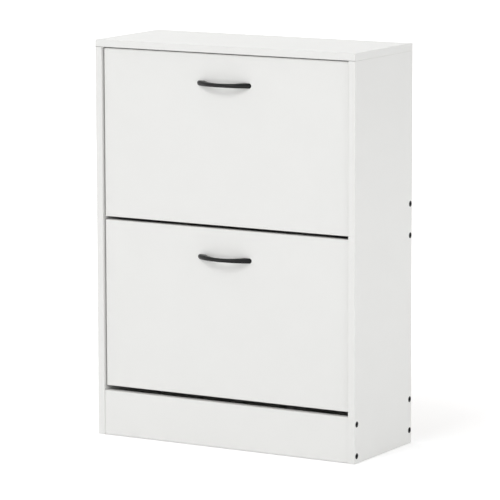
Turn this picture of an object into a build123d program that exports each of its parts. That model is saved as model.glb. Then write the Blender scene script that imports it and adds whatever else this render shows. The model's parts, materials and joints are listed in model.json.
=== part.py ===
from build123d import *
import math
import os

# A two-tier tip-out shoe cabinet. Millimetres; X to the right, Y to the back, Z up.
# The origin is on the floor, at the centre of the whole footprint with the handles included.

# ---- Carcass boards ------------------------------------------------------------------------------
width = 600.0  # over the side panels
depth = 240.0  # side panels, front edge to back edge
height = 815.0  # floor to the top face
board = 15.0  # coated particle board of the carcass and of the flap fronts
edge_round = 0.6  # rounding of the edge banding
plinth_height = 92.0
plinth_lift = 1.0  # the plinth hangs clear of the floor, so the side panels carry the cabinet
plinth_setback = 2.0  # plinth's face behind the side panels' front edges
rail_height = 100.0  # both rear rails
lower_rail_lift = 9.0  # lower rear rail and back panel above the floor
middle_rail_lift = 9.0  # middle rear rail's centre above the centre of the gap between the flaps

# ---- Back panel, in grooves just ahead of the rear rails -----------------------------------------
back_sheet = 3.0  # thickness of the hardboard
groove_depth = 6.0  # in the side panels and in the top panel
groove_play = 0.15  # round the sheet's edges in their grooves
bracket_clearance = 1.5  # of the sheet's notches round the wall brackets

# ---- Gaps round the flap fronts ------------------------------------------------------------------
flap_setback = 6.0  # flap fronts' faces behind the side panels' front edges
top_gap = 2.4
side_gap = 3.0
middle_gap = 7.0
plinth_gap = 10.0

# ---- Flap hinge ----------------------------------------------------------------------------------
open_angle = 40.0  # degrees from closed to fully tipped out
pivot_behind_flap = 9.0  # hinge line behind the flap front's inner face
corner_clearance = 2.4  # left of the middle gap as the flap's lower corner dips into it
swing_clearance = 3.0  # between a rack's widest reach and what lies above it
rail_clearance = 8.0  # between a rack's widest reach and the back panel on the rear rails
pin_radius = 3.0
pin_chamfer = 0.5
pin_seat = 6.0  # length of the pin inside the side panel
pin_running = 0.05  # radial play of the pin in its bush
bush_wall = 2.0
bush_flange = 1.6  # width of the bush's flange beyond its barrel
bush_flange_thickness = 1.0
hinge_play = 0.5  # bush to hinge plate, and cheek to the stop peg's collar
boss_wall = 3.2  # of the cheek round the bush
boss_depth = 8.0
plate_thickness = 1.5  # steel hinge plate on the side panel
plate_width = 36.0
plate_height = 64.0
plate_front = 12.0  # plate's edge ahead of the hinge line
plate_corner = 6.0
plate_screw_pitch = 46.0

# ---- Stop pegs, one per cheek, each in a curved slot ---------------------------------------------
stop_radius = 150.0  # from the hinge line
stop_angle = 80.0  # degrees above the horizontal, from the hinge line to the peg
peg_radius = 3.5
peg_chamfer = 0.6
peg_tip = 2.0  # tip of the peg beyond the cheek's inner face
peg_collar_radius = 7.0
peg_seat = 10.0  # length of the peg inside the side panel
slot_play = 0.5  # round the peg, at the sides and at both ends of the slot
slot_rim = 2.0  # moulded rim round the slot, on the cheek's inner face
slot_rim_height = 1.5

# ---- Rack cheeks, moulded plastic ----------------------------------------------------------------
cheek_play = 4.0  # cheek's outer face to the side panel
cheek_wall = 3.0
cheek_lift = 8.0  # cheek's lower edge above the flap front's lower edge
cheek_drop = 44.0  # cheek's front top below the flap front's upper edge
cheek_rear_drop = 15.0  # cheek's rear top below the height that the swing would allow
cheek_rear_round = 60.0
lip_wall = 2.5  # rim along the cheek's free edges
lip_depth = 10.0
flange_width = 22.0  # front flange, screwed to the flap front
flange_wall = 4.0
rib_wall = 2.0  # ribs that hold the ends of the rack boards
rib_depth = 8.0

# ---- Rack boards ---------------------------------------------------------------------------------
rack_board = 12.0
rack_fit = 0.2  # between a rack board and the cheek's ribs
rear_board_drop = 5.0  # rear board's top below the start of the cheek's rear rounding
divider_clearance = 10.0  # divider's top below the stop slot's rim

# ---- Handles -------------------------------------------------------------------------------------
handle_length = 125.0
handle_rise = 24.0  # how far the handles stand out from the flap fronts
handle_bar = 6.5  # thickness at the middle of the bow
handle_waist = 8.0  # height at the middle of the bow
handle_end = 10.5  # height at the rounded ends
handle_foot = 22.0  # length of each foot on the flap front
handle_soft = 0.45  # corner radius, as a share of the section's smaller side
handle_stations = 10  # steps from foot to foot
handle_overrun = 1.3  # how far the bow is drawn before it is cut at the flap, as a share of its half
handle_trim = 0.4  # extra height of the round-ended outline that trims the feet
handle_drop = 59.5  # handle's centre line below the flap's upper edge
handle_hole_pitch = 96.0

# ---- Fasteners -----------------------------------------------------------------------------------
fit = 0.05  # round every fastener in its hole
recess_arm = 0.55  # half the length of a cross recess, as a share of the head's radius
recess_slot = 0.14  # half its width, as a share of the same
recess_depth = 0.6  # its depth, as a share of the head's height
head_dome = 0.6  # rounding of a domed head, as a share of its height
confirmat_length = 50.0
confirmat_head_radius = 6.0
confirmat_head_height = 3.5
confirmat_shoulder_radius = 3.5
confirmat_core_radius = 2.5
confirmat_socket = 4.0  # across the flats of the hexagon
confirmat_socket_depth = 2.5
confirmat_pitch = 64.0
cam_radius = 7.5
cam_skin = 2.5  # left of the side panel behind the cam
cam_slot_depth = 2.0
cam_drop = 34.0  # cam's centre below the top panel
cam_inset = 50.0  # from the front and back edges of the side panel
cam_bolt_radius = 3.0
cam_bolt_neck_radius = 2.0
cam_bolt_neck = 6.0  # length of the neck that enters the cam
cam_bolt_head = 2.5
cam_bolt_grip = 11.0  # length in the top panel
dowel_radius = 4.0
dowel_inset = 82.0  # from the front and back edges of the side panel
dowel_skin = 3.0  # left of the top panel above the dowel
dowel_depth = 18.0  # length in the side panel
dowel_chamfer = 0.8
wood_screw_radius = 1.75
wood_screw_head = 3.5
wood_screw_head_height = 2.2
screw_skin = 3.0  # left of a board beyond the tip of a wood screw
rack_screw_length = 30.0
rack_screw_inset = 25.0  # from the ends of a rack board's section
flange_screw_inset = 24.0  # from the ends of the cheek's flange
flange_screw_count = 4
handle_screw_radius = 2.0
handle_screw_head = 4.0
handle_screw_head_height = 2.5
handle_screw_bite = 7.0  # length in the handle's foot

# ---- Wall brackets, against tipping --------------------------------------------------------------
bracket_wall = 2.0
bracket_width = 24.0
bracket_leg = 40.0
bracket_foot = 40.0
bracket_bend = 3.0  # outside radius of the bend
bracket_inset = 60.0  # bracket's centre from the side panel's inner face
bracket_hole_radius = 2.75
bracket_hole_drop = 22.0  # wall hole below the top panel
bracket_screw_pitch = 20.0

# ---- Derived places ------------------------------------------------------------------------------
front = (handle_rise - flap_setback - depth) / 2
back = front + depth
outer = width / 2
inner = outer - board
panel_top = height - board
rail_front = back - board
plinth_front = front + plinth_setback
plinth_top = plinth_lift + plinth_height
flap_height = (panel_top - top_gap - middle_gap - plinth_gap - plinth_top) / 2
lower_flap_bottom = plinth_top + plinth_gap
upper_flap_bottom = lower_flap_bottom + flap_height + middle_gap
middle_rail_bottom = upper_flap_bottom - middle_gap / 2 + middle_rail_lift - rail_height / 2

# Seen from the side, a flap's lower front corner turns about the hinge line and dips below its
# closed place by hypot(setback, rise) - rise. The rise makes that dip fit the middle gap.
pivot_setback = board + pivot_behind_flap
corner_dip = middle_gap - corner_clearance
pivot_rise = (pivot_setback**2 - corner_dip**2) / (2 * corner_dip)
pivot_y = front + flap_setback + pivot_setback
lower_pivot_z = lower_flap_bottom + pivot_rise
upper_pivot_z = upper_flap_bottom + pivot_rise

# The pieces of a flap are drawn about its hinge line, with Y back and Z up.
flap_back = -pivot_behind_flap
flap_face = -pivot_setback
flap_bottom = -pivot_rise
flap_top = flap_bottom + flap_height
flap_half = inner - side_gap
swing_reach = flap_top + min(top_gap, middle_gap - corner_dip) - swing_clearance
rear_reach = rail_front - back_sheet - pivot_y - rail_clearance

bush_outer = inner - plate_thickness - hinge_play
boss_outer = bush_outer - bush_flange_thickness
boss_inner = boss_outer - boss_depth
bush_radius = pin_radius + pin_running + bush_wall
boss_radius = bush_radius + fit + boss_wall

cheek_outer = inner - cheek_play
cheek_inner = cheek_outer - cheek_wall
cheek_bottom = flap_bottom + cheek_lift
cheek_front_top = flap_top - cheek_drop
cheek_rear = math.sqrt(rear_reach**2 - cheek_bottom**2)
cheek_rear_top = math.sqrt(swing_reach**2 - cheek_rear**2) - cheek_rear_drop
flange_back = flap_back + flange_wall
slot_half = peg_radius + slot_play

shelf_bottom = cheek_bottom + lip_wall + rack_fit
shelf_top = shelf_bottom + rack_board
shelf_front = flange_back + rack_fit
rear_board_back = cheek_rear - lip_wall - rack_fit
rear_board_front = rear_board_back - rack_board
rear_board_top = cheek_rear_top - cheek_rear_round - rear_board_drop
divider_front = (flap_back + rear_board_front - rack_board) / 2
divider_back = divider_front + rack_board
divider_reach = stop_radius - slot_half - slot_rim - divider_clearance
divider_top = math.sqrt(divider_reach**2 - divider_back**2)
rack_half = cheek_inner - rack_fit
handle_z = flap_top - handle_drop

plate_screw_length = plate_thickness + board - screw_skin
flange_screw_length = flange_wall + board - screw_skin
bracket_screw_length = bracket_wall + board - screw_skin


# ---- Helpers -------------------------------------------------------------------------------------
def block(x0, x1, y0, y1, z0, z1):
    """A plain block between two corners."""
    centre = Pos((x0 + x1) / 2, (y0 + y1) / 2, (z0 + z1) / 2)
    return centre * Box(x1 - x0, y1 - y0, z1 - z0)


def panel(x0, x1, y0, y1, z0, z1):
    """A board with its edges rounded."""
    solid = block(x0, x1, y0, y1, z0, z1)
    return fillet(solid.edges(), edge_round)


def rod(radius, start, end):
    """A round bar along its own Z, from one height to another."""
    return Pos(0, 0, (start + end) / 2) * Cylinder(radius, abs(end - start))


def cross_rod(radius, start, end):
    """A round bar along X, from one place to another."""
    return Rot(0, 90, 0) * rod(radius, start, end)


def aim(point, outward):
    """A place whose own Z points outward."""
    return Plane(origin=point, z_dir=outward).location


def drilled(solid, tools):
    """The solid without the volumes of a list of tools."""
    for tool in tools:
        solid = solid - tool
    return solid


def both_sides(solid):
    """A right-hand piece with its mirror image on the left."""
    return [solid, mirror(solid, about=Plane.YZ)]


def section(points):
    """A flat outline across X, from points given as (Y, Z)."""
    return Plane.YZ * Polygon(*points, align=None)


# ---- Fasteners, each with its head along its own +Z and its seat at zero --------------------------
def cross_recess(radius, top, deep):
    """The cross cut in a round face."""
    arm = radius * recess_arm
    slot = radius * recess_slot
    bar = block(-arm, arm, -slot, slot, top - deep, top + fit)
    return bar + Rot(0, 0, 90) * bar


def shank(radius, length):
    """A screw's shank below its seat, with a point."""
    point = 2 * radius
    tip = Pos(0, 0, point / 2 - length) * Rot(180, 0, 0) * Cone(radius, radius / 6, point)
    return rod(radius, 0, point - length) + tip


def shank_hole(radius, length):
    return rod(radius + fit, fit, -length - fit)


def pan_screw(radius, head_radius, head_height, length):
    """A screw with a domed head that stands on its seat."""
    head = rod(head_radius, 0, head_height)
    head = fillet(head.edges().sort_by(Axis.Z)[-1], head_height * head_dome)
    recess = cross_recess(head_radius, head_height, head_height * recess_depth)
    return head + shank(radius, length) - recess


def domed_screw(length):
    """A wood screw with a domed head."""
    return pan_screw(wood_screw_radius, wood_screw_head, wood_screw_head_height, length)


def handle_screw():
    """A machine screw through the flap front into a handle's foot."""
    length = board + handle_screw_bite
    return pan_screw(handle_screw_radius, handle_screw_head, handle_screw_head_height, length)


def flush_screw(length):
    """A wood screw with a countersunk head, flush with its seat."""
    sink = wood_screw_head - wood_screw_radius
    head = Pos(0, 0, -sink / 2) * Cone(wood_screw_radius, wood_screw_head, sink)
    recess = cross_recess(wood_screw_head, 0, sink * recess_depth)
    return head + shank(wood_screw_radius, length) - recess


def flush_hole(length):
    """The countersunk hole for a flush screw."""
    sink = wood_screw_head - wood_screw_radius
    head = Pos(0, 0, -sink / 2) * Cone(wood_screw_radius + fit, wood_screw_head + fit, sink)
    return head + shank_hole(wood_screw_radius, length)


def confirmat():
    """A one-piece connector: flush head with a hexagon socket, shoulder and core."""
    head = rod(confirmat_head_radius, -confirmat_head_height, 0)
    shoulder = rod(confirmat_shoulder_radius, -confirmat_head_height, -board)
    core = rod(confirmat_core_radius, -board, -confirmat_length)
    hexagon = RegularPolygon(confirmat_socket / 2, 6, major_radius=False)
    socket = Pos(0, 0, -confirmat_socket_depth) * extrude(hexagon, confirmat_socket_depth)
    return head + shoulder + core - socket


def confirmat_hole():
    """The stepped hole through a side panel and into the end of the board behind it."""
    head = rod(confirmat_head_radius + fit, -confirmat_head_height - fit, fit)
    shoulder = rod(confirmat_shoulder_radius + fit, 0, -board - fit)
    core = rod(confirmat_core_radius + fit, 0, -confirmat_length - fit)
    return head + shoulder + core


def cam_bolt():
    """The bolt in the top panel, ending in a thin neck and a head inside the cam."""
    neck_top = cam_bolt_head + cam_bolt_neck - cam_drop
    grip = rod(cam_bolt_radius, neck_top, cam_bolt_grip)
    neck = rod(cam_bolt_neck_radius, -cam_drop, neck_top)
    head = rod(cam_bolt_radius, -cam_drop, cam_bolt_head - cam_drop)
    return grip + neck + head


def cam_bolt_hole():
    return rod(cam_bolt_radius + fit, -cam_drop - fit, cam_bolt_grip + fit)


def cam():
    """The cam, its slotted face flush with the side panel's inner face."""
    return rod(cam_radius, cam_skin - board, 0) - cross_recess(cam_radius, 0, cam_slot_depth)


def cam_hole():
    return rod(cam_radius + fit, cam_skin - board - fit, fit)


def dowel():
    peg = rod(dowel_radius, -dowel_depth, board - dowel_skin)
    return chamfer(peg.edges().filter_by(GeomType.CIRCLE), dowel_chamfer)


def dowel_hole():
    return rod(dowel_radius + fit, -dowel_depth - fit, board - dowel_skin + fit)


# ---- Places of the fasteners ---------------------------------------------------------------------
def confirmat_places():
    """Two screws through each side panel into each end of the plinth and of the rear rails."""
    centres = [
        (plinth_front + board / 2, plinth_lift + plinth_height / 2),
        (rail_front + board / 2, lower_rail_lift + rail_height / 2),
        (rail_front + board / 2, middle_rail_bottom + rail_height / 2),
    ]
    places = []
    for y, middle in centres:
        for z in (middle - confirmat_pitch / 2, middle + confirmat_pitch / 2):
            places.append(aim((outer, y, z), (1, 0, 0)))
            places.append(aim((-outer, y, z), (-1, 0, 0)))
    return places


def top_edge_places(inset):
    """Points on the side panels' upper edges, in from the front and from the back."""
    middle = inner + board / 2
    return [Pos(x, y, panel_top) for x in (middle, -middle) for y in (front + inset, back - inset)]


def cam_places():
    """Cams on the side panels' inner faces, below the cam bolts."""
    rows = (front + cam_inset, back - cam_inset)
    level = panel_top - cam_drop
    return [aim((side * inner, y, level), (-side, 0, 0)) for side in (1, -1) for y in rows]


def bracket_centres():
    return (inner - bracket_inset, bracket_inset - inner)


def bracket_screw_places():
    """Two screws up through each wall bracket's foot into the top panel."""
    middle = back - bracket_foot / 2
    rows = (middle - bracket_screw_pitch / 2, middle + bracket_screw_pitch / 2)
    level = panel_top - bracket_wall
    return [aim((x, y, level), (0, 0, -1)) for x in bracket_centres() for y in rows]


def plate_screw_places():
    """The two screws of the right-hand hinge plate, drawn about the hinge line."""
    y = plate_width / 2 - plate_front
    levels = (-plate_screw_pitch / 2, plate_screw_pitch / 2)
    return [aim((inner - plate_thickness, y, z), (-1, 0, 0)) for z in levels]


def stop_axis():
    """The stop peg's axis, drawn about the hinge line."""
    angle = math.radians(stop_angle)
    return Pos(0, stop_radius * math.cos(angle), stop_radius * math.sin(angle))


def flange_screw_places():
    """The screws of the right-hand cheek's front flange, heads towards the rack."""
    x = (cheek_inner + cheek_outer - flange_width) / 2
    first = cheek_bottom + flange_screw_inset
    step = (cheek_front_top - flange_screw_inset - first) / (flange_screw_count - 1)
    return [aim((x, flange_back, first + i * step), (0, 1, 0)) for i in range(flange_screw_count)]


def rack_screw_places():
    """Two screws through the right-hand cheek into the end of each rack board."""
    shelf_z = (shelf_bottom + shelf_top) / 2
    rear_y = (rear_board_front + rear_board_back) / 2
    divider_y = (divider_front + divider_back) / 2
    points = [
        (shelf_front + rack_screw_inset, shelf_z),
        (rear_board_front - rack_screw_inset, shelf_z),
        (rear_y, shelf_top + rack_screw_inset),
        (rear_y, rear_board_top - rack_screw_inset),
        (divider_y, shelf_top + rack_screw_inset),
        (divider_y, divider_top - rack_screw_inset),
    ]
    return [aim((cheek_outer, y, z), (1, 0, 0)) for y, z in points]


def handle_screw_places():
    """The two screws of a handle, heads on the flap front's inner face."""
    half = handle_hole_pitch / 2
    return [aim((x, flap_back, handle_z), (0, 1, 0)) for x in (half, -half)]


# ---- Carcass pieces ------------------------------------------------------------------------------
def on_hinges(solids):
    """Solids drawn about the hinge line, at both flaps' hinges and on both sides."""
    placed = []
    for level in (lower_pivot_z, upper_pivot_z):
        for solid in solids:
            placed += both_sides(Pos(0, pivot_y, level) * solid)
    return placed


def top_panel():
    tools = [place * dowel_hole() for place in top_edge_places(dowel_inset)]
    tools += [place * cam_bolt_hole() for place in top_edge_places(cam_inset)]
    length = bracket_screw_length
    tools += [place * shank_hole(wood_screw_radius, length) for place in bracket_screw_places()]
    return drilled(panel(-outer, outer, front, back, panel_top, height), tools + [back_groove()])


def side_panel():
    """The right-hand side panel, with a hole for every fitting."""
    tools = [place * dowel_hole() for place in top_edge_places(dowel_inset) if place.position.X > 0]
    tools += [place * cam_bolt_hole() for place in top_edge_places(cam_inset) if place.position.X > 0]
    tools += [place * cam_hole() for place in cam_places() if place.position.X > 0]
    tools += [place * confirmat_hole() for place in confirmat_places() if place.position.X > 0]
    hinge_tools = [place * flush_hole(plate_screw_length) for place in plate_screw_places()]
    hinge_tools += [pivot_seat(), stop_seat()]
    tools += [tool for tool in on_hinges(hinge_tools) if tool.center().X > 0]
    return drilled(panel(inner, outer, front, back, 0, panel_top), tools + [back_groove()])


def cross_board(y, bottom, tall):
    """A board between the side panels: the plinth or a rear rail."""
    tools = [place * confirmat_hole() for place in confirmat_places()]
    return drilled(panel(-inner, inner, y, y + board, bottom, bottom + tall), tools)


def back_groove():
    """One cut that makes the back panel's grooves in both side panels and in the top panel."""
    reach = inner + groove_depth
    groove_front = rail_front - back_sheet - groove_play
    groove_back = rail_front + groove_play
    return block(-reach, reach, groove_front, groove_back, -fit, panel_top + groove_depth)


def back_panel():
    """A sheet of hardboard against the rear rails, notched round the wall brackets."""
    reach = inner + groove_depth - groove_play
    sheet_top = panel_top + groove_depth - groove_play
    sheet_front = rail_front - back_sheet
    sheet = block(-reach, reach, sheet_front, rail_front, lower_rail_lift, sheet_top)
    half = bracket_width / 2 + bracket_clearance
    floor = panel_top - bracket_leg - bracket_clearance
    notches = [block(x - half, x + half, sheet_front - fit, back, floor, height) for x in bracket_centres()]
    return drilled(sheet, notches)


def pivot_seat():
    """The pin's hole through the hinge plate and into the side panel."""
    return cross_rod(pin_radius + fit, inner - plate_thickness - fit, inner + pin_seat + fit)


def pivot_pin():
    """The right-hand hinge pin, from its seat in the side panel to the end of the cheek's boss."""
    bar = cross_rod(pin_radius, boss_inner, inner + pin_seat)
    return chamfer(bar.edges().filter_by(GeomType.CIRCLE).sort_by(Axis.X)[0], pin_chamfer)


def hinge_plate():
    """The right-hand hinge plate, drawn about the hinge line."""
    outline = RectangleRounded(plate_width, plate_height, plate_corner)
    middle = Pos(inner - plate_thickness, plate_width / 2 - plate_front, 0)
    plate = middle * extrude(Plane.YZ * outline, plate_thickness)
    screw_holes = [place * flush_hole(plate_screw_length) for place in plate_screw_places()]
    return drilled(plate, screw_holes + [pivot_seat()])


def stop_seat():
    return stop_axis() * cross_rod(peg_radius + fit, inner - fit, inner + peg_seat + fit)


def stop_peg():
    """The right-hand stop peg: a seat in the side panel, a collar, and a tip through the slot."""
    tip = cross_rod(peg_radius, cheek_inner - peg_tip, inner + peg_seat)
    tip = chamfer(tip.edges().filter_by(GeomType.CIRCLE), peg_chamfer)
    collar = cross_rod(peg_collar_radius, cheek_outer + hinge_play, inner)
    return stop_axis() * (tip + collar)


def wall_bracket(x):
    """An angle bracket under the top panel, its upright leg in the plane of the cabinet's back."""
    bar = section(
        [
            (back, panel_top),
            (back - bracket_foot, panel_top),
            (back - bracket_foot, panel_top - bracket_wall),
            (back - bracket_wall, panel_top - bracket_wall),
            (back - bracket_wall, panel_top - bracket_leg),
            (back, panel_top - bracket_leg),
        ]
    )
    leg = Pos(x - bracket_width / 2, 0, 0) * extrude(bar, bracket_width)
    outside_bend = (x, back, panel_top)
    leg = fillet(leg.edges().filter_by(Axis.X).sort_by_distance(outside_bend)[0], bracket_bend)
    inside_bend = (x, back - bracket_wall, panel_top - bracket_wall)
    bends = leg.edges().filter_by(Axis.X).sort_by_distance(inside_bend)
    leg = fillet(bends[0], bracket_bend - bracket_wall)
    wall_hole = aim((x, back, panel_top - bracket_hole_drop), (0, 1, 0))
    tools = [wall_hole * rod(bracket_hole_radius, -2 * bracket_wall, bracket_wall)]
    length = bracket_screw_length
    tools += [place * shank_hole(wood_screw_radius, length) for place in bracket_screw_places()]
    return drilled(leg, tools)


# ---- Flap pieces, drawn about the hinge line -----------------------------------------------------
def flap_front():
    """The flap's face board, drilled for its handle and for both cheeks' flanges."""
    solid = panel(-flap_half, flap_half, flap_face, flap_back, flap_bottom, flap_top)
    length = flange_screw_length
    flange_holes = [place * shank_hole(wood_screw_radius, length) for place in flange_screw_places()]
    tools = [hole for tool in flange_holes for hole in both_sides(tool)]
    tools += [place * handle_screw_hole() for place in handle_screw_places()]
    return drilled(solid, tools)


def handle_screw_hole():
    return shank_hole(handle_screw_radius, board + handle_screw_bite)


def bow_point(half_chord, rise, share):
    """A point of a bow in plan, at a share of the way from its middle to its end on the flap."""
    radius = (half_chord**2 + rise**2) / (2 * rise)
    angle = share * math.asin(half_chord / radius)
    return Vector(radius * math.sin(angle), radius - rise - radius * math.cos(angle), 0)


def handle_section(share):
    """The handle's section there, from its outer bow to its inner bow, taller towards the ends."""
    outside = bow_point(handle_length / 2, handle_rise, share)
    inside = bow_point(handle_length / 2 - handle_foot, handle_rise - handle_bar, share)
    through = outside - inside
    thickness = through.length
    tall = handle_waist + (handle_end - handle_waist) * min(1, abs(share)) ** 2
    along = Vector(0, 0, 1).cross(through)
    place = Plane((outside + inside) / 2, x_dir=through, z_dir=along)
    return place * RectangleRounded(thickness, tall, handle_soft * min(thickness, tall))


def handle():
    """A bow handle through rounded sections, its feet flat on the flap and round at their ends."""
    shares = [handle_overrun * (2 * i / handle_stations - 1) for i in range(handle_stations + 1)]
    bar = loft([handle_section(share) for share in shares])
    outline = Plane.XZ * SlotOverall(handle_length, handle_end + handle_trim)
    bar = Pos(0, flap_face, handle_z) * (bar & extrude(outline, 2 * handle_rise))
    return drilled(bar, [place * handle_screw_hole() for place in handle_screw_places()])


def cheek_outline():
    corners = [
        (flap_back, cheek_bottom),
        (cheek_rear, cheek_bottom),
        (cheek_rear, cheek_rear_top),
        (flap_back, cheek_front_top),
    ]
    outline = Polygon(*corners, align=None)
    rear = outline.vertices().group_by(Axis.X)[-1].sort_by(Axis.Y)
    outline = fillet(rear[1], cheek_rear_round)
    rear = outline.vertices().group_by(Axis.X)[-1].sort_by(Axis.Y)
    return fillet(rear[0], lip_wall + rack_fit)


def slot_outline(half_width):
    """The stop slot: the peg's path as the flap opens, seen from the flap."""
    path = CenterArc((0, 0), stop_radius, stop_angle - open_angle, open_angle)
    return SlotArc(path, 2 * half_width)


def across(outline, x0, x1):
    """A flat outline given in Y and Z, as a solid between two places along X."""
    return Pos(x0, 0, 0) * extrude(Plane.YZ * outline, x1 - x0)


def cheek():
    """The right-hand cheek of a rack, moulded in one piece with its flange, rim, ribs and boss."""
    outline = cheek_outline()
    solid = across(outline, cheek_inner, cheek_outer)
    lip = outline - offset(outline, -lip_wall)
    solid += across(lip, cheek_inner - lip_depth, cheek_inner)
    solid += across(slot_outline(slot_half + slot_rim), cheek_inner - slot_rim_height, cheek_inner)
    flange_edge = cheek_outer - flange_width
    solid += block(flange_edge, cheek_outer, flap_back, flange_back, cheek_bottom, cheek_front_top)
    solid += cross_rod(boss_radius, boss_inner, boss_outer)
    rib_edge = cheek_inner - rib_depth
    rib_floor = shelf_top + rack_fit
    rear_rib = rear_board_front - rack_fit
    ahead = divider_front - rack_fit
    behind = divider_back + rack_fit
    solid += block(rib_edge, cheek_inner, flange_back, ahead, rib_floor, rib_floor + rib_wall)
    solid += block(rib_edge, cheek_inner, behind, rear_rib, rib_floor, rib_floor + rib_wall)
    solid += block(rib_edge, cheek_inner, rear_rib - rib_wall, rear_rib, rib_floor, rear_board_top)
    solid += block(rib_edge, cheek_inner, ahead - rib_wall, ahead, rib_floor, divider_top)
    solid += block(rib_edge, cheek_inner, behind, behind + rib_wall, rib_floor, divider_top)
    tools = [across(slot_outline(slot_half), cheek_inner - lip_depth, cheek_outer + fit)]
    tools.append(cross_rod(bush_radius + fit, boss_inner - fit, boss_outer + fit))
    tools += [place * flush_hole(rack_screw_length) for place in rack_screw_places()]
    length = flange_screw_length
    tools += [place * shank_hole(wood_screw_radius, length) for place in flange_screw_places()]
    return drilled(solid, tools)


def pivot_bush():
    """The right-hand bush, its flange between the cheek's boss and the hinge plate."""
    barrel = cross_rod(bush_radius, boss_inner, bush_outer)
    flange = cross_rod(bush_radius + bush_flange, boss_outer, bush_outer)
    return barrel + flange - cross_rod(pin_radius + pin_running, boss_inner - fit, bush_outer + fit)


def rack_panel(y0, y1, z0, z1):
    """A board across the rack, drilled at both ends."""
    holes = [place * flush_hole(rack_screw_length) for place in rack_screw_places()]
    tools = [hole for tool in holes for hole in both_sides(tool)]
    return drilled(panel(-rack_half, rack_half, y0, y1, z0, z1), tools)


# ---- The pieces, by node -------------------------------------------------------------------------
def carcass_pieces():
    right = side_panel()
    bolt_holes = [place * cam_bolt_hole() for place in top_edge_places(cam_inset)]
    bracket_screw = domed_screw(bracket_screw_length)
    right_bracket, left_bracket = [wall_bracket(x) for x in bracket_centres()]
    return {
        "top_panel": top_panel(),
        "side_panel_right": right,
        "side_panel_left": mirror(right, about=Plane.YZ),
        "plinth": cross_board(plinth_front, plinth_lift, plinth_height),
        "rear_rail_lower": cross_board(rail_front, lower_rail_lift, rail_height),
        "rear_rail_middle": cross_board(rail_front, middle_rail_bottom, rail_height),
        "back_panel": back_panel(),
        "confirmat_screws": [place * confirmat() for place in confirmat_places()],
        "cam_bolts": [place * cam_bolt() for place in top_edge_places(cam_inset)],
        "cams": [drilled(place * cam(), bolt_holes) for place in cam_places()],
        "dowels": [place * dowel() for place in top_edge_places(dowel_inset)],
        "wall_bracket_right": right_bracket,
        "wall_bracket_left": left_bracket,
        "wall_bracket_screws": [place * bracket_screw for place in bracket_screw_places()],
    }


def hinge_pieces(name, level):
    """The fittings of one flap that stay on the side panels."""
    lift = Pos(0, pivot_y, level)
    plate_right, plate_left = both_sides(hinge_plate())
    screws = [place * flush_screw(plate_screw_length) for place in plate_screw_places()]
    return {
        f"{name}_hinge_plate_right": lift * plate_right,
        f"{name}_hinge_plate_left": lift * plate_left,
        f"{name}_hinge_plate_screws": [lift * s for screw in screws for s in both_sides(screw)],
        f"{name}_hinge_pins": [lift * pin for pin in both_sides(pivot_pin())],
        f"{name}_stop_pegs": [lift * peg for peg in both_sides(stop_peg())],
    }


def flap_pieces(name, level):
    """Everything that swings with one flap."""
    lift = Pos(0, pivot_y, level)
    cheek_right, cheek_left = both_sides(cheek())
    flange_screws = [place * domed_screw(flange_screw_length) for place in flange_screw_places()]
    rack_screws = [place * flush_screw(rack_screw_length) for place in rack_screw_places()]
    rear_board = rack_panel(rear_board_front, rear_board_back, shelf_bottom, rear_board_top)
    return {
        f"{name}_flap_front": lift * flap_front(),
        f"{name}_handle": lift * handle(),
        f"{name}_handle_screws": [lift * place * handle_screw() for place in handle_screw_places()],
        f"{name}_cheek_right": lift * cheek_right,
        f"{name}_cheek_left": lift * cheek_left,
        f"{name}_cheek_screws": [lift * s for screw in flange_screws for s in both_sides(screw)],
        f"{name}_pivot_bushes": [lift * bush for bush in both_sides(pivot_bush())],
        f"{name}_shelf": lift * rack_panel(shelf_front, rear_board_front, shelf_bottom, shelf_top),
        f"{name}_rear_board": lift * rear_board,
        f"{name}_divider": lift * rack_panel(divider_front, divider_back, shelf_top, divider_top),
        f"{name}_rack_screws": [lift * s for screw in rack_screws for s in both_sides(screw)],
    }


nodes = carcass_pieces()
for flap_name, flap_level in (("lower", lower_pivot_z), ("upper", upper_pivot_z)):
    nodes.update(hinge_pieces(flap_name, flap_level))
    nodes.update(flap_pieces(flap_name, flap_level))

os.makedirs("parts", exist_ok=True)
for node, piece in nodes.items():
    shape = Compound(children=piece) if isinstance(piece, list) else piece
    export_step(shape, f"parts/{node}.step")
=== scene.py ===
import json
import math

import bmesh
import bpy
from mathutils import Matrix, Vector


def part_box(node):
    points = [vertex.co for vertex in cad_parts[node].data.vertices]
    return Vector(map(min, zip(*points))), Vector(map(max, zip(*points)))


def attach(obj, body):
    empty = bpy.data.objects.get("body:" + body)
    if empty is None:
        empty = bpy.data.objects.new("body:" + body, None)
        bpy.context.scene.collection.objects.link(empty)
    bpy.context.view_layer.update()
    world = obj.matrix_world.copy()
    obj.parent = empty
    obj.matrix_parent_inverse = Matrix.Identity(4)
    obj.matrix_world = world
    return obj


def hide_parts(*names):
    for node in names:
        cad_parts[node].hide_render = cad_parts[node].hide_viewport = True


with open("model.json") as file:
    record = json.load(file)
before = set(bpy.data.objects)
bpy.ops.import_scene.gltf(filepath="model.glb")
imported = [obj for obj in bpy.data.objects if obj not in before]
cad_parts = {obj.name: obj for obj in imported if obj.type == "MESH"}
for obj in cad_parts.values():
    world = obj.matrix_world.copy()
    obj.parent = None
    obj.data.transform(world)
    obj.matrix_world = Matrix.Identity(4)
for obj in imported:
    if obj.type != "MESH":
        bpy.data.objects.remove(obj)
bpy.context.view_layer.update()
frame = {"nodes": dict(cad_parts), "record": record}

NODES = frame["nodes"]
MM = 0.001
FLAPS = ("lower", "upper")
BODY_OF = {node: body for body, nodes in frame["record"]["behaviour"]["bodies"].items() for node in nodes}

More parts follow.
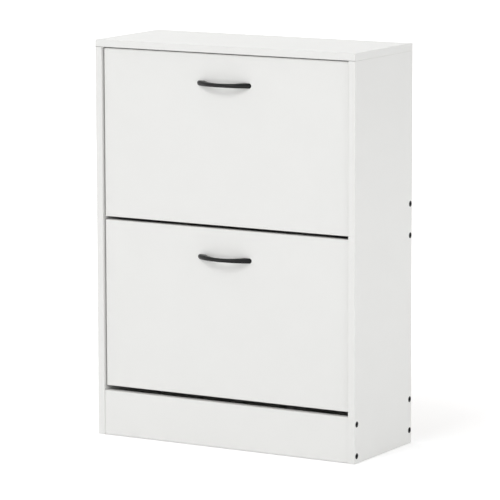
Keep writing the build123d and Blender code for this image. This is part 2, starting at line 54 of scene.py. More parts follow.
# ---- Sizes of the pieces modelled here, in metres --------------------------------------------------
HANDLE_BAR = 6.5 * MM  # thickness at the middle of the bow
HANDLE_WAIST = 8.0 * MM  # height there
HANDLE_FOOT = 22.0 * MM  # length of each foot on the flap
HANDLE_SOFT = 0.49  # corner radius, as a share of the section's smaller side
HANDLE_STEPS = 32  # stretches from foot to foot
HANDLE_CORNER_STEPS = 8  # facets in each soft corner of its section
BENCH = 1.0  # the straight bar of a handle lies this far back while its sections are shaped
BENCH_BAR = 4.0 * MM  # its thickness and height
BENCH_PITCH = 20.0 * MM  # between its sections
BOARD = 15.0 * MM  # thickness of the side panels, which the connectors' shoulders fill
CONNECTOR_SIDES = 48  # flats round its head and shank
CONNECTOR_RIM = 0.35 * MM  # rounding of its rims
CONNECTOR_HEAD = 3.5 * MM  # thickness
CONNECTOR_SHOULDER = 3.5 * MM  # radius
CONNECTOR_CORE = 2.5 * MM  # radius
SOCKET = 4.0 * MM  # across the flats of the connector's hexagon
SOCKET_DEPTH = 2.5 * MM
CHEEK_EDGE = 0.5 * MM  # rounding that the mould leaves on a rack's cheek
PRESSED_EDGE = 0.25 * MM  # rounding of a pressed hinge plate or wall bracket
BUSH_EDGE = 0.2 * MM
PEG_EDGE = 0.3 * MM

# ---- Camera ----------------------------------------------------------------------------------------
AZIMUTH = math.radians(30.34)
ELEVATION = math.radians(8.95)
ROLL = math.radians(-0.15)
DISTANCE = 7.22  # from AIM
LENS = 256.2  # focal length in millimetres
SENSOR = 36  # its width in millimetres
CLIP_END = 60
AIM = Vector((-0.0052, 0.0041, 0.3898))


def add_camera():
    """A long lens, a little above the cabinet and to its right."""
    back = Vector((
        math.sin(AZIMUTH) * math.cos(ELEVATION),
        -math.cos(AZIMUTH) * math.cos(ELEVATION),
        math.sin(ELEVATION),
    ))
    right = Vector((0, 0, 1)).cross(back).normalized()
    up = back.cross(right)
    turned_right = math.cos(ROLL) * right + math.sin(ROLL) * up
    turned_up = math.cos(ROLL) * up - math.sin(ROLL) * right
    data = bpy.data.cameras.new("camera")
    data.lens = LENS
    data.sensor_width = SENSOR
    data.clip_end = CLIP_END
    camera = bpy.data.objects.new("camera", data)
    bpy.context.collection.objects.link(camera)
    place = AIM + DISTANCE * back
    camera.matrix_world = Matrix((
        (turned_right.x, turned_up.x, back.x, place.x),
        (turned_right.y, turned_up.y, back.y, place.y),
        (turned_right.z, turned_up.z, back.z, place.z),
        (0, 0, 0, 1),
    ))
    bpy.context.scene.camera = camera


# ---- Materials -------------------------------------------------------------------------------------
# A texture's scale is one over the real size of its pattern.
A, B = 6, 7  # the two colours that a Mix node of colours takes
MIXED = 2  # the colour that it gives


def linear(hex_value):
    """An sRGB hex colour as linear RGBA."""
    channels = [int(hex_value[i:i + 2], 16) / 255 for i in (1, 3, 5)]
    return [c / 12.92 if c <= 0.04045 else ((c + 0.055) / 1.055) ** 2.4 for c in channels] + [1]


def add_node(tree, kind, inputs=None, **settings):
    """A shader node with its settings and its inputs, each a value or another node's output."""
    node = tree.nodes.new(kind)
    for name, value in settings.items():
        setattr(node, name, value)
    for name, value in (inputs or {}).items():
        if isinstance(value, bpy.types.NodeSocket):
            tree.links.new(value, node.inputs[name])
        else:
            node.inputs[name].default_value = value
    return node


def new_material(name):
    """An empty material, its node tree, and the place of each point in the cabinet's own frame."""
    material = bpy.data.materials.new(name)
    material.use_nodes = True
    tree = material.node_tree
    tree.nodes.clear()
    return material, tree, add_node(tree, "ShaderNodeTexCoord").outputs["Object"]


def finish_material(tree, colour, roughness, height, depth, **fixed):
    """The shader and the output, with a bump of a real depth in metres."""
    bump = add_node(tree, "ShaderNodeBump", {"Height": height, "Distance": depth, "Strength": 1.0})
    shader = add_node(tree, "ShaderNodeBsdfPrincipled", {
        "Base Color": colour, "Roughness": roughness, "Normal": bump.outputs[0]})
    for name, value in fixed.items():
        shader.inputs[name.replace("_", " ")].default_value = value
    add_node(tree, "ShaderNodeOutputMaterial", {"Surface": shader.outputs[0]})


def depth_in_box(tree, place, low, high):
    """How far a point lies inside a box along each axis, from the nearer of the two sides."""
    above = add_node(tree, "ShaderNodeVectorMath", {0: place, 1: low}, operation="SUBTRACT")
    below = add_node(tree, "ShaderNodeVectorMath", {0: high, 1: place}, operation="SUBTRACT")
    nearer = add_node(tree, "ShaderNodeVectorMath", {
        0: above.outputs[0], 1: below.outputs[0]}, operation="MINIMUM")
    return add_node(tree, "ShaderNodeSeparateXYZ", {0: nearer.outputs[0]})


EDGE_BAND = 0.8 * MM  # thickness of the band
GLUE_LINE = 0.12 * MM  # width of the glue's hairline on each side of the band's inner edge
JOINT_SHADE = 0.45 * MM  # half the width of the painted shade line where the top panel lies on the sides
JOINT_CORE = 0.6  # share of that width that is fully dark
JOINT_DEPTH = 1.0 * MM  # how far behind the front edges it still shows


def painted_joint_shade(tree, place):
    """One in the open joint under the top panel, along the front edges, where a dark line is painted for the
    shade that falls in it.
    """
    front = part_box("side_panel_right")[0].y
    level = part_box("top_panel")[0].z
    split = add_node(tree, "ShaderNodeSeparateXYZ", {0: place})
    off_joint = add_node(tree, "ShaderNodeMath", {0: split.outputs["Z"], 1: level}, operation="SUBTRACT")
    off_joint = add_node(tree, "ShaderNodeMath", {0: off_joint.outputs[0]}, operation="ABSOLUTE")
    near = add_node(tree, "ShaderNodeMapRange", {
        "Value": off_joint.outputs[0], "From Min": JOINT_CORE * JOINT_SHADE, "From Max": JOINT_SHADE,
        "To Min": 1.0, "To Max": 0.0})
    in_front = add_node(tree, "ShaderNodeMath", {
        0: split.outputs["Y"], 1: front + JOINT_DEPTH}, operation="LESS_THAN")
    line = add_node(tree, "ShaderNodeMath", {
        0: near.outputs[0], 1: in_front.outputs[0]}, operation="MULTIPLY")
    return line.outputs[0]


def melamine_board(node):
    """White melamine pressed on particle board: matt, faintly clouded and pebbled under a low light.
    A plastic band covers every edge, a little smoother, with a hairline of glue where it meets the face."""
    low, high = [Vector(corner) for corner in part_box(node)]
    sizes = high - low
    long_axes = sorted("XYZ", key=lambda axis: sizes["XYZ".index(axis)])[1:]
    material, tree, place = new_material(f"melamine_board_{node}")
    depth = depth_in_box(tree, place, low, high)
    edge = add_node(tree, "ShaderNodeMath", {
        0: depth.outputs[long_axes[0]], 1: depth.outputs[long_axes[1]]}, operation="MINIMUM")
    band = add_node(tree, "ShaderNodeMapRange", {
        "Value": edge.outputs[0], "From Min": EDGE_BAND, "From Max": EDGE_BAND + GLUE_LINE,
        "To Min": 1.0, "To Max": 0.0})
    off_line = add_node(tree, "ShaderNodeMath", {0: edge.outputs[0], 1: EDGE_BAND}, operation="SUBTRACT")
    off_line = add_node(tree, "ShaderNodeMath", {0: off_line.outputs[0]}, operation="ABSOLUTE")
    glue = add_node(tree, "ShaderNodeMapRange", {
        "Value": off_line.outputs[0], "From Min": 0.0, "From Max": GLUE_LINE, "To Min": 1.0, "To Max": 0.0})
    clouds = add_node(tree, "ShaderNodeTexNoise", {"Vector": place, "Scale": 1 / (90 * MM), "Detail": 3.0})
    face = add_node(tree, "ShaderNodeMix", {
        "Factor": clouds.outputs["Fac"], A: linear("#e9e9e7"), B: linear("#ececea")}, data_type="RGBA")
    banded = add_node(tree, "ShaderNodeMix", {
        "Factor": band.outputs[0], A: face.outputs[MIXED], B: linear("#e9e9e7")}, data_type="RGBA")
    glued_and_shaded = add_node(tree, "ShaderNodeMix", {
        "Factor": glue.outputs[0], A: banded.outputs[MIXED], B: linear("#c9c7c0")}, data_type="RGBA")
    # painted shade: the open joint under the top panel is darkened to a dark grey along the front edges
    glued_and_shaded = add_node(tree, "ShaderNodeMix", {
        "Factor": painted_joint_shade(tree, place), A: glued_and_shaded.outputs[MIXED], B: linear("#4a4946")}, data_type="RGBA")
    handled = add_node(tree, "ShaderNodeTexNoise", {"Vector": place, "Scale": 1 / (35 * MM), "Detail": 4.0})
    matt = add_node(tree, "ShaderNodeMapRange", {
        "Value": handled.outputs["Fac"], "From Min": 0.3, "From Max": 0.7, "To Min": 0.54, "To Max": 0.6})
    smooth = add_node(tree, "ShaderNodeMapRange", {
        "Value": band.outputs[0], "To Min": matt.outputs[0], "To Max": 0.46})
    pebble = add_node(tree, "ShaderNodeTexNoise", {"Vector": place, "Scale": 1 / (0.9 * MM), "Detail": 1.0})
    flat = add_node(tree, "ShaderNodeMath", {0: 1.0, 1: band.outputs[0]}, operation="SUBTRACT")
    pebbled = add_node(tree, "ShaderNodeMath", {
        0: pebble.outputs["Fac"], 1: flat.outputs[0]}, operation="MULTIPLY")
    height = add_node(tree, "ShaderNodeMath", {
        0: pebbled.outputs[0], 1: glue.outputs[0]}, operation="SUBTRACT")
    finish_material(tree, glued_and_shaded.outputs[MIXED], smooth.outputs[0], height.outputs[0], 0.02 * MM)
    return material


SCREEN = 1.6 * MM  # pitch of the wire screen that hardboard is pressed on
WAVE = math.pi / 10  # length of one band of a wave texture whose scale is one
RAW_SKIN = 0.05 * MM  # depth of the raw brown board on its edges and its back


def lacquered_hardboard():
    """Thin hardboard, lacquered white inside: flatter and greyer than the melamine, with the felted
    fibres just showing through. Its edges and its back are raw brown, with the press screen's weave."""
    low, high = [Vector(corner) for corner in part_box("back_panel")]
    material, tree, place = new_material("lacquered_hardboard")
    depth = depth_in_box(tree, place, low, high)
    edge = add_node(tree, "ShaderNodeMath", {
        0: depth.outputs["X"], 1: depth.outputs["Z"]}, operation="MINIMUM")
    split = add_node(tree, "ShaderNodeSeparateXYZ", {0: place})
    from_back = add_node(tree, "ShaderNodeMath", {0: high.y, 1: split.outputs["Y"]}, operation="SUBTRACT")
    to_raw = add_node(tree, "ShaderNodeMath", {
        0: edge.outputs[0], 1: from_back.outputs[0]}, operation="MINIMUM")
    raw = add_node(tree, "ShaderNodeMath", {0: to_raw.outputs[0], 1: RAW_SKIN}, operation="LESS_THAN")
    clouds = add_node(tree, "ShaderNodeTexNoise", {"Vector": place, "Scale": 1 / (40 * MM), "Detail": 5.0})
    fibres = add_node(tree, "ShaderNodeTexNoise", {"Vector": place, "Scale": 1 / (1.6 * MM), "Detail": 3.0})
    lacquer = add_node(tree, "ShaderNodeMix", {
        "Factor": clouds.outputs["Fac"], A: linear("#dededa"), B: linear("#e6e6e2")}, data_type="RGBA")
    brown = add_node(tree, "ShaderNodeMix", {
        "Factor": fibres.outputs["Fac"], A: linear("#7d6245"), B: linear("#9c7f5c")}, data_type="RGBA")
    colour = add_node(tree, "ShaderNodeMix", {
        "Factor": raw.outputs[0], A: lacquer.outputs[MIXED], B: brown.outputs[MIXED]}, data_type="RGBA")
    rough = add_node(tree, "ShaderNodeMapRange", {
        "Value": fibres.outputs["Fac"], "To Min": 0.6, "To Max": 0.78})
    waves = [add_node(tree, "ShaderNodeTexWave", {"Vector": place, "Scale": WAVE / SCREEN},
                      wave_type="BANDS", bands_direction=axis) for axis in "XZ"]
    weave = add_node(tree, "ShaderNodeMath", {
        0: waves[0].outputs["Fac"], 1: waves[1].outputs["Fac"]}, operation="MULTIPLY")
    pressed = add_node(tree, "ShaderNodeMath", {0: weave.outputs[0], 1: raw.outputs[0]}, operation="MULTIPLY")
    height = add_node(tree, "ShaderNodeMath", {
        0: pressed.outputs[0], 1: fibres.outputs["Fac"]}, operation="ADD")
    finish_material(tree, colour.outputs[MIXED], rough.outputs[0], height.outputs[0], 0.05 * MM)
    return material


def powder_coat():
    """Black polyester powder, sprayed and baked: a satin skin with a faint orange peel."""
    material, tree, place = new_material("powder_coat_black")
    peel = add_node(tree, "ShaderNodeTexNoise", {"Vector": place, "Scale": 1 / (1.1 * MM), "Detail": 1.0})
    clouds = add_node(tree, "ShaderNodeTexNoise", {"Vector": place, "Scale": 1 / (14 * MM), "Detail": 3.0})
    colour = add_node(tree, "ShaderNodeMix", {
        "Factor": clouds.outputs["Fac"], A: linear("#0e0e0e"), B: linear("#151515")}, data_type="RGBA")
    rough = add_node(tree, "ShaderNodeMapRange", {
        "Value": clouds.outputs["Fac"], "To Min": 0.26, "To Max": 0.36})
    finish_material(tree, colour.outputs[MIXED], rough.outputs[0], peel.outputs["Fac"], 0.03 * MM,
                    Specular_IOR_Level=0.22)
    return material


def blackened_steel():
    """Turned steel screws, chemically blackened: nearly black, and blotched where the oil lies."""
    material, tree, place = new_material("blackened_steel")
    blotch = add_node(tree, "ShaderNodeTexNoise", {"Vector": place, "Scale": 1 / (2.5 * MM), "Detail": 3.0})
    colour = add_node(tree, "ShaderNodeMix", {
        "Factor": blotch.outputs["Fac"], A: linear("#08080a"), B: linear("#121214")}, data_type="RGBA")
    rough = add_node(tree, "ShaderNodeMapRange", {
        "Value": blotch.outputs["Fac"], "To Min": 0.34, "To Max": 0.5})
    finish_material(tree, colour.outputs[MIXED], rough.outputs[0], blotch.outputs["Fac"], 0.01 * MM,
                    Metallic=1.0)
    return material


def zinc_plate():
    """Steel pressings and screws with clear passivated zinc: bright, faintly blue, cloudy from the bath and
    finely scratched."""
    material, tree, place = new_material("zinc_plated_steel")
    clouds = add_node(tree, "ShaderNodeTexNoise", {"Vector": place, "Scale": 1 / (6 * MM), "Detail": 4.0})
    scratch_place = add_node(tree, "ShaderNodeMapping", {
        "Vector": place, "Scale": (1 / (0.25 * MM), 1 / (0.25 * MM), 1 / (9 * MM))})
    scratches = add_node(tree, "ShaderNodeTexNoise", {
        "Vector": scratch_place.outputs[0], "Scale": 1.0, "Detail": 2.0})
    colour = add_node(tree, "ShaderNodeMix", {
        "Factor": clouds.outputs["Fac"], A: linear("#b4b8bd"), B: linear("#c9cbca")}, data_type="RGBA")
    both = add_node(tree, "ShaderNodeMath", {
        0: clouds.outputs["Fac"], 1: scratches.outputs["Fac"]}, operation="MULTIPLY")
    rough = add_node(tree, "ShaderNodeMapRange", {
        "Value": both.outputs[0], "From Min": 0.1, "From Max": 0.45, "To Min": 0.24, "To Max": 0.44})
    finish_material(tree, colour.outputs[MIXED], rough.outputs[0], scratches.outputs["Fac"], 0.004 * MM,
                    Metallic=1.0)
    return material


def cast_zinc():
    """Die-cast zinc, tumbled and left bare: dull grey with a fine sandy skin."""
    material, tree, place = new_material("die_cast_zinc")
    sand = add_node(tree, "ShaderNodeTexNoise", {"Vector": place, "Scale": 1 / (0.4 * MM), "Detail": 2.0})
    clouds = add_node(tree, "ShaderNodeTexNoise", {"Vector": place, "Scale": 1 / (4 * MM), "Detail": 3.0})
    colour = add_node(tree, "ShaderNodeMix", {
        "Factor": clouds.outputs["Fac"], A: linear("#96989b"), B: linear("#b0b1b2")}, data_type="RGBA")
    rough = add_node(tree, "ShaderNodeMapRange", {"Value": sand.outputs["Fac"], "To Min": 0.4, "To Max": 0.6})
    finish_material(tree, colour.outputs[MIXED], rough.outputs[0], sand.outputs["Fac"], 0.02 * MM,
                    Metallic=1.0)
    return material


def moulded_polypropylene():
    """Black polypropylene from a spark-eroded mould: a soft sheen broken by a fine even grain."""
    material, tree, place = new_material("moulded_polypropylene_black")
    grain = add_node(tree, "ShaderNodeTexVoronoi", {"Vector": place, "Scale": 1 / (0.7 * MM)})
    clouds = add_node(tree, "ShaderNodeTexNoise", {"Vector": place, "Scale": 1 / (30 * MM), "Detail": 3.0})
    colour = add_node(tree, "ShaderNodeMix", {
        "Factor": clouds.outputs["Fac"], A: linear("#1f1f21"), B: linear("#29292b")}, data_type="RGBA")
    rough = add_node(tree, "ShaderNodeMapRange", {
        "Value": clouds.outputs["Fac"], "To Min": 0.46, "To Max": 0.6})
    finish_material(tree, colour.outputs[MIXED], rough.outputs[0], grain.outputs["Distance"], 0.05 * MM)
    return material


def natural_nylon():
    """Undyed moulded nylon: a waxy, slightly yellow white."""
    material, tree, place = new_material("nylon_natural")
    clouds = add_node(tree, "ShaderNodeTexNoise", {"Vector": place, "Scale": 1 / (5 * MM), "Detail": 2.0})
    colour = add_node(tree, "ShaderNodeMix", {
        "Factor": clouds.outputs["Fac"], A: linear("#d9d3c1"), B: linear("#e4dfd0")}, data_type="RGBA")
    rough = add_node(tree, "ShaderNodeMapRange", {
        "Value": clouds.outputs["Fac"], "To Min": 0.38, "To Max": 0.5})
    finish_material(tree, colour.outputs[MIXED], rough.outputs[0], clouds.outputs["Fac"], 0.03 * MM)
    return material


def turned_beech():
    """Beech dowels: dull, pinkish straw wood with short dark flecks along the peg."""
    material, tree, place = new_material("beech_dowel")
    along = add_node(tree, "ShaderNodeMapping", {
        "Vector": place, "Scale": (1 / (0.5 * MM), 1 / (0.5 * MM), 1 / (4 * MM))})
    flecks = add_node(tree, "ShaderNodeTexNoise", {"Vector": along.outputs[0], "Scale": 1.0, "Detail": 2.0})
    ramp = add_node(tree, "ShaderNodeMapRange", {
        "Value": flecks.outputs["Fac"], "From Min": 0.4, "From Max": 0.7})
    colour = add_node(tree, "ShaderNodeMix", {
        "Factor": ramp.outputs[0], A: linear("#cfae84"), B: linear("#a8804f")}, data_type="RGBA")
    rough = add_node(tree, "ShaderNodeMapRange", {
        "Value": flecks.outputs["Fac"], "To Min": 0.55, "To Max": 0.72})
    finish_material(tree, colour.outputs[MIXED], rough.outputs[0], flecks.outputs["Fac"], 0.03 * MM)
    return material


FINISHES = {
    "white_hardboard": lacquered_hardboard(),
    "black_metal": powder_coat(),
    "black_screw": blackened_steel(),
    "zinc_steel": zinc_plate(),
    "zinc_cast": cast_zinc(),
    "black_plastic": moulded_polypropylene(),
    "nylon": natural_nylon(),
    "beech": turned_beech(),
}
SLOT_OF = {part["node"]: part["material_slot"] for part in frame["record"]["subparts"]}


def finish_of(node):
    """The material of a node; each board has its own, because its edge bands follow its own edges."""
    slot = SLOT_OF[node]
    return melamine_board(node) if slot == "white_board" else FINISHES[slot]


def dress_nodes():
    """Gives every CAD node its finish."""
    for name, node in NODES.items():
        node.data.materials.clear()
        node.data.materials.append(finish_of(name))


# ---- Modelling helpers -----------------------------------------------------------------------------
SMOOTH_BELOW = math.radians(35)  # edges flatter than this are shaded smooth
WELD = 0.001 * MM  # points this near each other are one, where a node is taken apart into its solids


def deselect():
    """Leaves edit mode and deselects everything."""
    if bpy.context.object and bpy.context.object.mode != "OBJECT":
        bpy.ops.object.mode_set(mode="OBJECT")
    bpy.ops.object.select_all(action="DESELECT")


def take_up(piece):
    """Makes a piece the one that the next operators work on."""
    deselect()
    piece.select_set(True)
    bpy.context.view_layer.objects.active = piece


def edit(piece):
    """Opens a piece in edit mode with nothing selected."""
    take_up(piece)
    bpy.ops.object.mode_set(mode="EDIT")
    bpy.ops.mesh.select_all(action="DESELECT")


def select_points(test):
    """Selects the points whose place passes a test, and nothing else."""
    data = bpy.context.object.data
    bpy.ops.mesh.select_mode(type="VERT")
    mesh = bmesh.from_edit_mesh(data)
    for point in mesh.verts:
        point.select_set(bool(test(point.co)))
    mesh.select_flush_mode()
    bmesh.update_edit_mesh(data)


def select_faces(test):
    """Selects the faces whose middle and normal pass a test, and nothing else."""
    data = bpy.context.object.data
    bpy.ops.mesh.select_mode(type="FACE")
    mesh = bmesh.from_edit_mesh(data)
    for face in mesh.faces:
        face.select_set(bool(test(face.calc_center_median(), face.normal)))
    mesh.select_flush_mode()
    bmesh.update_edit_mesh(data)


def apply_modifier(piece, kind, **settings):
    """Adds a modifier with its settings and applies it."""
    take_up(piece)
    modifier = piece.modifiers.new(kind.lower(), kind)
    for name, value in settings.items():
        setattr(modifier, name, value)
    bpy.ops.object.modifier_apply(modifier=modifier.name)


def settle(piece):
    """Brings a finished piece's place into its mesh and shades its gentle edges smooth."""
    take_up(piece)
    bpy.ops.object.transform_apply(location=True, rotation=True, scale=True)
    bpy.ops.object.shade_smooth_by_angle(angle=SMOOTH_BELOW)


def stand_for(piece, node):
    """Dresses a piece as its node is, and lets it ride and stand for it."""
    piece.data.materials.clear()
    piece.data.materials.append(finish_of(node))
    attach(piece, BODY_OF[node])
    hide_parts(node)


def copy_of(piece, name):
    """A copy with its own mesh."""
    copy = piece.copy()
    copy.data = piece.data.copy()
    copy.name = name
    copy.parent = None
    bpy.context.collection.objects.link(copy)
    return copy


def solid_boxes(node):
    """The lowest and highest corner of each solid in a node."""
    probe = copy_of(NODES[node], "probe")
    edit(probe)
    bpy.ops.mesh.select_all(action="SELECT")
    bpy.ops.mesh.remove_doubles(threshold=WELD)
    bpy.ops.mesh.separate(type="LOOSE")
    bpy.ops.object.mode_set(mode="OBJECT")
    loose = list(bpy.context.selected_objects)
    boxes = []
    for solid in loose:
        corners = [vertex.co for vertex in solid.data.vertices]
        boxes.append([Vector([furthest(corner[i] for corner in corners) for i in range(3)])
                      for furthest in (min, max)])
        bpy.data.objects.remove(solid)
    return boxes


# ---- Handles ---------------------------------------------------------------------------------------
def bow_point(half_chord, rise, share):
    """A point of a bow in plan, at a share of the way from its middle to its end on the flap."""
    radius = (half_chord ** 2 + rise ** 2) / (2 * rise)
    angle = share * math.asin(half_chord / radius)
    return Vector((radius * math.sin(angle), radius - rise - radius * math.cos(angle), 0))


def bow_section(share, length, rise, tall_end):
    """The middle, turn, thickness and height of the bow's section at a share of the way to its end."""
    outside = bow_point(length / 2, rise, share)
    inside = bow_point(length / 2 - HANDLE_FOOT, rise - HANDLE_BAR, share)
    through = outside - inside
    tall = HANDLE_WAIST + (tall_end - HANDLE_WAIST) * share ** 2
    return (outside + inside) / 2, math.atan2(through.x, -through.y), through.length, tall


def shape_section(station, place, turn, thickness, tall):
    """Takes one section of the straight bar to its size, corner radius, turn and place in the bow."""
    def on_bar(point):
        return point.y > BENCH / 2 and abs(point.x - station) < BENCH_PITCH / 4

    here = Vector((station, BENCH, 0))
    core = min(thickness, tall)
    select_points(on_bar)
    bpy.ops.transform.resize(value=(1, core / BENCH_BAR, core / BENCH_BAR), center_override=here)
    for axis, extra in ((1, thickness - core), (2, tall - core)):
        for side in (-1, 1):
            select_points(lambda point: on_bar(point) and side * (point[axis] - here[axis]) > 0)
            bpy.ops.transform.translate(value=[side * extra / 2 if i == axis else 0 for i in range(3)])
    select_points(on_bar)
    bpy.ops.transform.rotate(value=-turn, orient_axis="Z", center_override=here)
    bpy.ops.transform.translate(value=place - here)


def bow_handle():
    """The lower flap's handle. A square bar with soft corners is drawn out straight behind the cabinet,
    station by station; each section then takes its place in the bow, and the feet end flat on the flap."""
    low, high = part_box("lower_handle")
    deselect()
    bpy.ops.mesh.primitive_plane_add(size=BENCH_BAR, rotation=(0, math.pi / 2, 0))
    piece = bpy.context.object
    piece.name = "lower_bow_handle"
    bpy.ops.object.transform_apply(rotation=True)
    edit(piece)
    bpy.ops.mesh.select_all(action="SELECT")
    bpy.ops.mesh.bevel(offset=HANDLE_SOFT * BENCH_BAR, segments=HANDLE_CORNER_STEPS, affect="VERTICES")
    bpy.ops.mesh.select_all(action="SELECT")
    bpy.ops.transform.translate(value=(0, BENCH, 0))
    for _ in range(HANDLE_STEPS):
        bpy.ops.mesh.extrude_region_move(TRANSFORM_OT_translate={"value": (BENCH_PITCH, 0, 0)})
    foot_level = Vector((0, high.y, (low.z + high.z) / 2))
    for step in range(HANDLE_STEPS + 1):
        share = 2 * step / HANDLE_STEPS - 1
        middle, turn, thickness, tall = bow_section(share, high.x - low.x, high.y - low.y, high.z - low.z)
        shape_section(step * BENCH_PITCH, foot_level + middle, turn, thickness, tall)
    bpy.ops.mesh.select_all(action="SELECT")
    bpy.ops.mesh.normals_make_consistent(inside=False)
    bpy.ops.object.mode_set(mode="OBJECT")
    settle(piece)
    return piece


def add_handles():
    """The lower handle, and a copy of it on the upper flap."""
    first = bow_handle()
    second = copy_of(first, "upper_bow_handle")
    second.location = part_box("upper_handle")[0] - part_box("lower_handle")[0]
    settle(second)
    stand_for(first, "lower_handle")
    stand_for(second, "upper_handle")


# ---- Connector screws ------------------------------------------------------------------------------
RIM_STEPS = 4  # facets in each broken rim
RIM_ANGLE = math.radians(60)  # edges sharper than this are rims
NEARLY_DOWN = -0.9  # a downward face's normal points lower than this
HAIR = 0.1 * MM  # slack of a test of place


def draw_out(test, narrower, longer):
    """Insets the selected round face and draws it out along its normal."""
    select_faces(test)
    bpy.ops.mesh.inset(thickness=narrower)
    bpy.ops.mesh.extrude_region_move(TRANSFORM_OT_translate={"value": (0, 0, -longer)})


def connector_screw(radius, length):
    """One connector screw, head up at the origin: the head's disc, its shoulder and its core, the rims
    broken, and a hexagon socket cut into the face."""
    deselect()
    bpy.ops.mesh.primitive_cylinder_add(
        vertices=CONNECTOR_SIDES, radius=radius, depth=CONNECTOR_HEAD, location=(0, 0, -CONNECTOR_HEAD / 2))
    screw = bpy.context.object
    screw.name = "connector_screw"
    bpy.ops.object.transform_apply(location=True)
    edit(screw)
    draw_out(lambda middle, normal: normal.z < NEARLY_DOWN,
             radius - CONNECTOR_SHOULDER, BOARD - CONNECTOR_HEAD)
    draw_out(lambda middle, normal: middle.z < HAIR - BOARD,
             CONNECTOR_SHOULDER - CONNECTOR_CORE, length - BOARD)
    bpy.ops.object.mode_set(mode="OBJECT")
    apply_modifier(screw, "BEVEL", width=CONNECTOR_RIM, segments=RIM_STEPS, limit_method="ANGLE",
                   angle_limit=RIM_ANGLE)
    bpy.ops.mesh.primitive_cylinder_add(
        vertices=6, radius=SOCKET / math.sqrt(3), depth=2 * SOCKET_DEPTH, location=(0, 0, 0))
    cutter = bpy.context.object
    apply_modifier(screw, "BOOLEAN", operation="DIFFERENCE", object=cutter, solver="EXACT")
    bpy.data.objects.remove(cutter)
    return screw


def add_connectors():
    """The twelve connector screws: one is made, and each solid of their node takes a copy. Theirs is the
    only node in blackened steel."""
    node = next(name for name, slot in SLOT_OF.items() if slot == "black_screw")
    boxes = solid_boxes(node)
    low, high = boxes[0]
    master = connector_screw((high.y - low.y) / 2, high.x - low.x)
    copies = []
    for low, high in boxes:
        side = 1 if low.x > 0 else -1
        copy = copy_of(master, "connector_copy")
        copy.location = (high.x if side > 0 else low.x, (low.y + high.y) / 2, (low.z + high.z) / 2)
        copy.rotation_euler = (0, side * math.pi / 2, 0)
        copies.append(copy)
    bpy.data.objects.remove(master)
    take_up(copies[0])
    for copy in copies:
        copy.select_set(True)
    bpy.ops.object.join()
    screws = bpy.context.object
    screws.name = "connector_screw_set"
    settle(screws)
    stand_for(screws, node)


# ---- Fittings whose edges are broken ---------------------------------------------------------------
FITTING_WELD = 0.002 * MM  # points of a fitting this near each other are one
FLAT = math.radians(0.2)  # faces that meet flatter than this are one face
SHARP = math.radians(40)  # edges sharper than this are broken
EDGE_STEPS = 2  # facets in each broken edge


def break_edges(node, name, width):
    """Stands a copy for a fitting, with every sharp edge rounded as moulding or tumbling leaves it."""
    piece = copy_of(NODES[node], name)
    edit(piece)
    bpy.ops.mesh.select_all(action="SELECT")
    bpy.ops.mesh.remove_doubles(threshold=FITTING_WELD)
    bpy.ops.mesh.dissolve_limited(angle_limit=FLAT)
    bpy.ops.object.mode_set(mode="OBJECT")
    apply_modifier(piece, "BEVEL", width=width, segments=EDGE_STEPS, limit_method="ANGLE",
                   angle_limit=SHARP, use_clamp_overlap=True)
    settle(piece)
    stand_for(piece, node)


def add_fittings():
    """The wall brackets, the racks' cheeks, the hinge plates, the bushes and the stop pegs."""
    for side in ("right", "left"):
        break_edges(f"wall_bracket_{side}", f"wall_bracket_{side}_pressing", PRESSED_EDGE)
        for flap in FLAPS:
            break_edges(f"{flap}_cheek_{side}", f"{flap}_cheek_{side}_moulding", CHEEK_EDGE)
            break_edges(f"{flap}_hinge_plate_{side}", f"{flap}_hinge_plate_{side}_pressing", PRESSED_EDGE)
    for flap in FLAPS:
        break_edges(f"{flap}_pivot_bushes", f"{flap}_bush_pair", BUSH_EDGE)
        break_edges(f"{flap}_stop_pegs", f"{flap}_stop_peg_pair", PEG_EDGE)


# ---- Studio ----------------------------------------------------------------------------------------
FLOOR_SIZE = 24
FLOOR_DROP = 0.2 * MM  # how far the floor lies below the side panels' feet
FLOOR_COLOUR = "#f2f2f2"
FLOOR_PAINTED_SHADE = "#5c5c5a"  # painted shade: the floor's colour where it is shut in under the cabinet
FLOOR_GLOW = 0.33  # what a direct look adds to the floor as far out as FLOOR_NEAR
FLOOR_NEAR = 0.5
FLOOR_FAR = 2.2  # how far out it has risen to one
WORLD = 0.52  # strength of the sky's light
LAMP_AIM = Vector((0, 0, 0.4))
LAMPS = [  # name, place, width and height, watts
    ("key", (-0.1, -2.9, 3.1), (1.1, 1.1), 36),
    ("top", (-1.6, 0.1, 3.0), (2.0, 2.0), 26),
    ("left_fill", (-1.4, -2.6, 0.14), (1.4, 0.28), 6.4),
    ("right_fill", (0.6, -2.8, 0.14), (1.4, 0.28), 3.9),
    ("side_front", (2.0, -0.6, 0.2), (1.2, 1.2), 7.9),
    ("side_back", (1.9, 0.6, 0.2), (1.0, 1.0), 5.4),
    ("back_fill", (-0.8, 3.4, 2.0), (2.2, 2.2), 10),
]


def seen_directly(tree):
    """One where the camera, a gloss or a glass looks, and zero for plain light."""
    path = add_node(tree, "ShaderNodeLightPath")
    seen = path.outputs["Is Camera Ray"]
    for kind in ("Is Glossy Ray", "Is Transmission Ray"):
        both = add_node(tree, "ShaderNodeMath", {0: seen, 1: path.outputs[kind]}, operation="MAXIMUM")
        seen = both.outputs[0]
    return seen


def add_sky():
    """A dim even sky that a direct look sees as white."""
    world = bpy.data.worlds.new("studio")
    bpy.context.scene.world = world
    world.use_nodes = True
    tree = world.node_tree
    tree.nodes.clear()
    sky = add_node(tree, "ShaderNodeBackground", {"Color": (1, 1, 1, 1), "Strength": WORLD})
    white = add_node(tree, "ShaderNodeBackground", {"Color": (1, 1, 1, 1), "Strength": 1.0})
    mix = add_node(tree, "ShaderNodeMixShader", {
        0: seen_directly(tree), 1: sky.outputs[0], 2: white.outputs[0]})
    add_node(tree, "ShaderNodeOutputWorld", {"Surface": mix.outputs[0]})


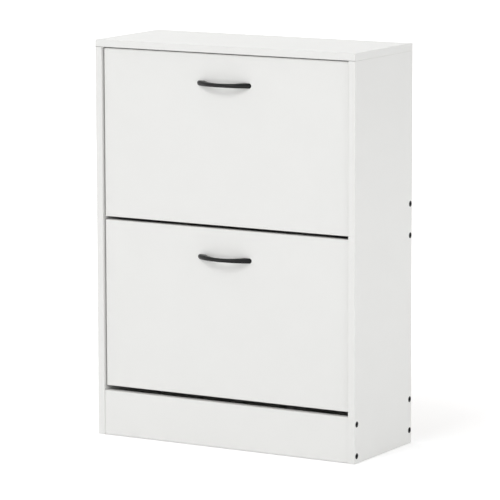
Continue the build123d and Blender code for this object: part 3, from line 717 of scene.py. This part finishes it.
def under_cabinet(tree, place):
    """One on the floor shut in between the side panels, from the back of the plinth to the outer face of
    the rear rail, and zero around it. The floor there is darkened as painted shade and gets no glow."""
    plinth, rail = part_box("plinth"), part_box("rear_rail_lower")
    low = Vector((plinth[0].x, plinth[1].y, 0))
    high = Vector((plinth[1].x, rail[1].y, 0))
    centre = (low + high) / 2
    away = add_node(tree, "ShaderNodeVectorMath", {0: place, 1: centre}, operation="SUBTRACT")
    away = add_node(tree, "ShaderNodeVectorMath", {0: away.outputs[0]}, operation="ABSOLUTE")
    past_edge = add_node(tree, "ShaderNodeVectorMath", {
        0: away.outputs[0], 1: high - centre}, operation="SUBTRACT")
    split = add_node(tree, "ShaderNodeSeparateXYZ", {0: past_edge.outputs[0]})
    furthest = add_node(tree, "ShaderNodeMath", {
        0: split.outputs["X"], 1: split.outputs["Y"]}, operation="MAXIMUM")
    inside = add_node(tree, "ShaderNodeMath", {0: furthest.outputs[0], 1: 0.0}, operation="LESS_THAN")
    return inside.outputs[0]


def add_floor():
    """A pale floor that keeps a faint shadow close by and runs out to white, with painted shade under
    the cabinet."""
    bpy.ops.mesh.primitive_plane_add(size=FLOOR_SIZE, location=(0, 0, -FLOOR_DROP))
    floor = bpy.context.object
    floor.name = "floor"
    material, tree, place = new_material("floor_paper_white")
    reach = add_node(tree, "ShaderNodeVectorMath", {0: place}, operation="LENGTH")
    fade = add_node(tree, "ShaderNodeMapRange", {
        "Value": reach.outputs["Value"], "From Min": FLOOR_NEAR, "From Max": FLOOR_FAR,
        "To Min": FLOOR_GLOW, "To Max": 1.0})
    painted_shade_beneath = under_cabinet(tree, place)
    # painted shade: under the cabinet the floor takes a dim grey instead of its pale colour
    colour = add_node(tree, "ShaderNodeMix", {
        "Factor": painted_shade_beneath, A: linear(FLOOR_COLOUR), B: linear(FLOOR_PAINTED_SHADE)}, data_type="RGBA")
    around = add_node(tree, "ShaderNodeMath", {0: 1.0, 1: painted_shade_beneath}, operation="SUBTRACT")
    strength = add_node(tree, "ShaderNodeMath", {
        0: fade.outputs[0], 1: around.outputs[0]}, operation="MULTIPLY")
    diffuse = add_node(tree, "ShaderNodeBsdfDiffuse", {"Color": colour.outputs[MIXED]})
    glow = add_node(tree, "ShaderNodeEmission", {"Color": (1, 1, 1, 1), "Strength": strength.outputs[0]})
    both = add_node(tree, "ShaderNodeAddShader", {0: diffuse.outputs[0], 1: glow.outputs[0]})
    mix = add_node(tree, "ShaderNodeMixShader", {
        0: seen_directly(tree), 1: diffuse.outputs[0], 2: both.outputs[0]})
    add_node(tree, "ShaderNodeOutputMaterial", {"Surface": mix.outputs[0]})
    floor.data.materials.append(material)


def add_lamp(name, place, size, power):
    """A soft light of a width and a height, aimed at the middle of the cabinet."""
    data = bpy.data.lights.new(name, "AREA")
    data.shape = "RECTANGLE"
    data.size, data.size_y = size
    data.energy = power
    lamp = bpy.data.objects.new(name, data)
    bpy.context.collection.objects.link(lamp)
    lamp.location = place
    towards = LAMP_AIM - Vector(place)
    lamp.rotation_euler = towards.to_track_quat("-Z", "Y").to_euler()


dress_nodes()
add_handles()
add_connectors()
add_fittings()
add_camera()
add_sky()
add_floor()
for lamp in LAMPS:
    add_lamp(*lamp)
bpy.context.scene.view_settings.view_transform = "Standard"
